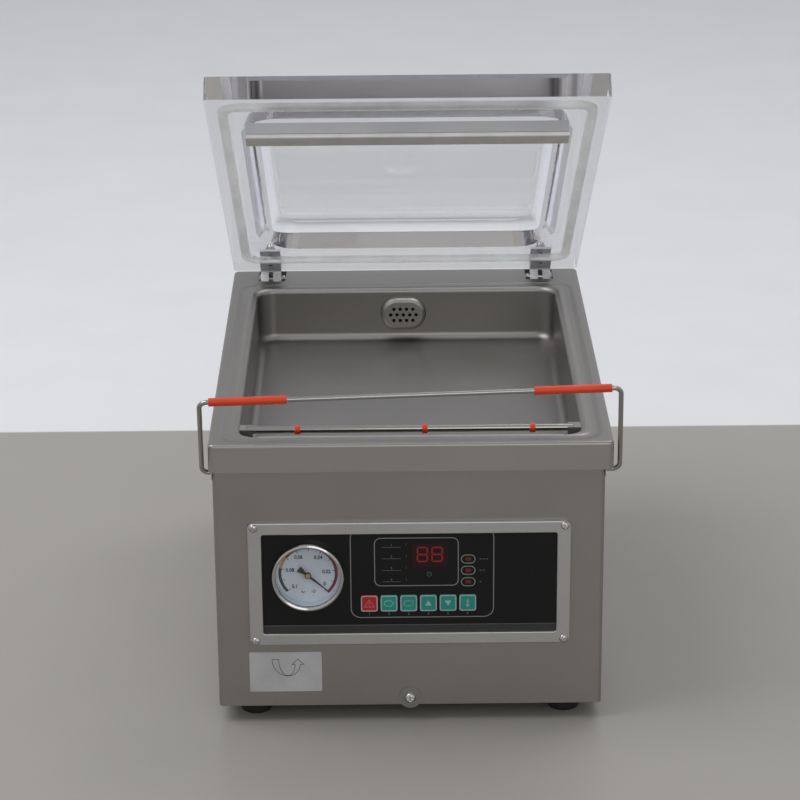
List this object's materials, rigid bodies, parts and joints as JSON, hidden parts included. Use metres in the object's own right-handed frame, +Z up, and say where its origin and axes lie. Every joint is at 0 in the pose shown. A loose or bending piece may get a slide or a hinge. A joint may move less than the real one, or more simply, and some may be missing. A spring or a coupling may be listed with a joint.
{
  "type": "vacuum chamber sealer",
  "caption": "Table-top vacuum chamber sealer with a hinged clear domed lid, steel chamber with lifting seal bar, wire bail, gauge and key panel, and a tilting housing over its pump tray.",
  "frame": {"origin": "centre of the machine's outline at rest, on the surface that its feet stand on", "axes": "+X to the operator's right, +Y to the back where the lid is hinged, +Z up"},
  "size_m": [0.3451, 0.4925, 0.5325],
  "materials": {
    "stainless": "fine satin",
    "tray_steel": "zinc plated sheet",
    "rubber_black": "matt moulded",
    "bright_steel": "polished",
    "plated_steel": "bright zinc plated",
    "acrylic": "clear, polished edges",
    "silicone_white": "soft matt",
    "aluminium": "extruded, satin anodised",
    "orange_silicone": "semi gloss",
    "panel_black": "printed film on plate",
    "key_teal": "embossed film",
    "key_red": "embossed film",
    "window_red": "tinted, polished",
    "dial_white": "printed card",
    "gauge_glass": "clear",
    "needle_black": "satin",
    "motor_grey": "painted casting",
    "copper": "enamelled wire",
    "board_green": "solder mask",
    "nylon_white": "moulded",
    "black_plastic": "moulded",
    "tape_brown": "coated glass cloth",
    "oil_glass": "clear over oil",
    "brass_block": "machined"
  },
  "bodies": {
    "base": {"base_tray": "tray_steel", "rubber_feet": "rubber_black", "foot_screws": "plated_steel", "pump_motor": "motor_grey", "pump_case": "motor_grey", "pump_oil_window": "oil_glass", "pump_mounts": "rubber_black", "pump_hose": "rubber_black", "transformer_core": "motor_grey", "transformer_coil": "copper", "housing_hinge_lower": "plated_steel", "housing_hinge_pins": "bright_steel"},
    "housing": {"cabinet_shell": "stainless", "housing_hinge_upper": "plated_steel", "lock_screw": "bright_steel", "lock_washer": "plated_steel", "deck_chamber": "stainless", "vent_grille": "stainless", "valve_block": "brass_block", "panel_bezel": "aluminium", "bezel_screws": "bright_steel", "panel_plate": "panel_black", "display_window": "window_red", "control_board": "board_green", "gauge_case": "bright_steel", "gauge_dial": "dial_white", "gauge_glass": "gauge_glass", "lid_brackets": "plated_steel", "lid_pins": "bright_steel", "lid_springs": "bright_steel", "bail_bushes": "nylon_white", "lift_cylinders": "aluminium", "clip_posts": "stainless", "power_inlet": "black_plastic", "switch_frame": "black_plastic"},
    "lid": {"lid_panel": "acrylic", "lid_gasket": "silicone_white", "lid_leaves": "plated_steel", "lid_bolts": "bright_steel", "counter_channel": "aluminium", "counter_rubber": "silicone_white"},
    "bail": {"bail_wire": "bright_steel", "bail_sleeves": "orange_silicone"},
    "seal_bar": {"seal_bar": "aluminium", "seal_bar_insulator": "black_plastic", "heating_strip": "bright_steel", "release_tape": "tape_brown", "lift_rods": "bright_steel"},
    "clip_rod": {"clip_rod": "bright_steel", "clip_rings": "orange_silicone"},
    "needle": {"gauge_needle": "needle_black"},
    "rocker": {"switch_rocker": "black_plastic"},
    "key_1": {"key_1": "key_red"},
    "key_2": {"key_2": "key_teal"},
    "key_3": {"key_3": "key_teal"},
    "key_4": {"key_4": "key_teal"},
    "key_5": {"key_5": "key_teal"},
    "key_6": {"key_6": "key_teal"}
  },
  "joints": [
    {"name": "housing_tilt", "type": "hinge", "parent": "base", "child": "housing", "pos_m": [0, 0.237, 0.022], "axis": [-1, 0, 0], "range_deg": [0, 50]},
    {"name": "lid_hinge", "type": "hinge", "parent": "housing", "child": "lid", "pos_m": [0, 0.2235, 0.248], "axis": [-1, 0, 0], "range_deg": [-35.7, 0], "stiffness_Nm_per_rad": 3, "springref_deg": 143.24},
    {"name": "bail_pivot", "type": "hinge", "parent": "housing", "child": "bail", "pos_m": [0, -0.2105, 0.224], "axis": [-1, 0, 0], "range_deg": [-140, 80]},
    {"name": "seal_bar_lift", "type": "slide", "parent": "housing", "child": "seal_bar", "axis": [0, 0, 1], "range_m": [0, 0.0115], "stiffness_N_per_m": 300, "springref_m": -0.003},
    {"name": "clip_rod_lift", "type": "slide", "parent": "housing", "child": "clip_rod", "axis": [0, 0, 1], "range_m": [0, 0.003]},
    {"name": "needle_turn", "type": "hinge", "parent": "housing", "child": "needle", "pos_m": [-0.0856, -0.2225, 0.135], "axis": [0, -1, 0], "range_deg": [0, 258], "stiffness_Nm_per_rad": 0.0005},
    {"name": "rocker_turn", "type": "hinge", "parent": "housing", "child": "rocker", "pos_m": [0.06, 0.2275, 0.08], "axis": [1, 0, 0], "range_deg": [0, 22]},
    {"name": "key_1_press", "type": "slide", "parent": "housing", "child": "key_1", "axis": [0, 1, 0], "range_m": [0, 0.0005], "stiffness_N_per_m": 400},
    {"name": "key_2_press", "type": "slide", "parent": "housing", "child": "key_2", "axis": [0, 1, 0], "range_m": [0, 0.0005], "stiffness_N_per_m": 400},
    {"name": "key_3_press", "type": "slide", "parent": "housing", "child": "key_3", "axis": [0, 1, 0], "range_m": [0, 0.0005], "stiffness_N_per_m": 400},
    {"name": "key_4_press", "type": "slide", "parent": "housing", "child": "key_4", "axis": [0, 1, 0], "range_m": [0, 0.0005], "stiffness_N_per_m": 400},
    {"name": "key_5_press", "type": "slide", "parent": "housing", "child": "key_5", "axis": [0, 1, 0], "range_m": [0, 0.0005], "stiffness_N_per_m": 400},
    {"name": "key_6_press", "type": "slide", "parent": "housing", "child": "key_6", "axis": [0, 1, 0], "range_m": [0, 0.0005], "stiffness_N_per_m": 400}
  ]
}
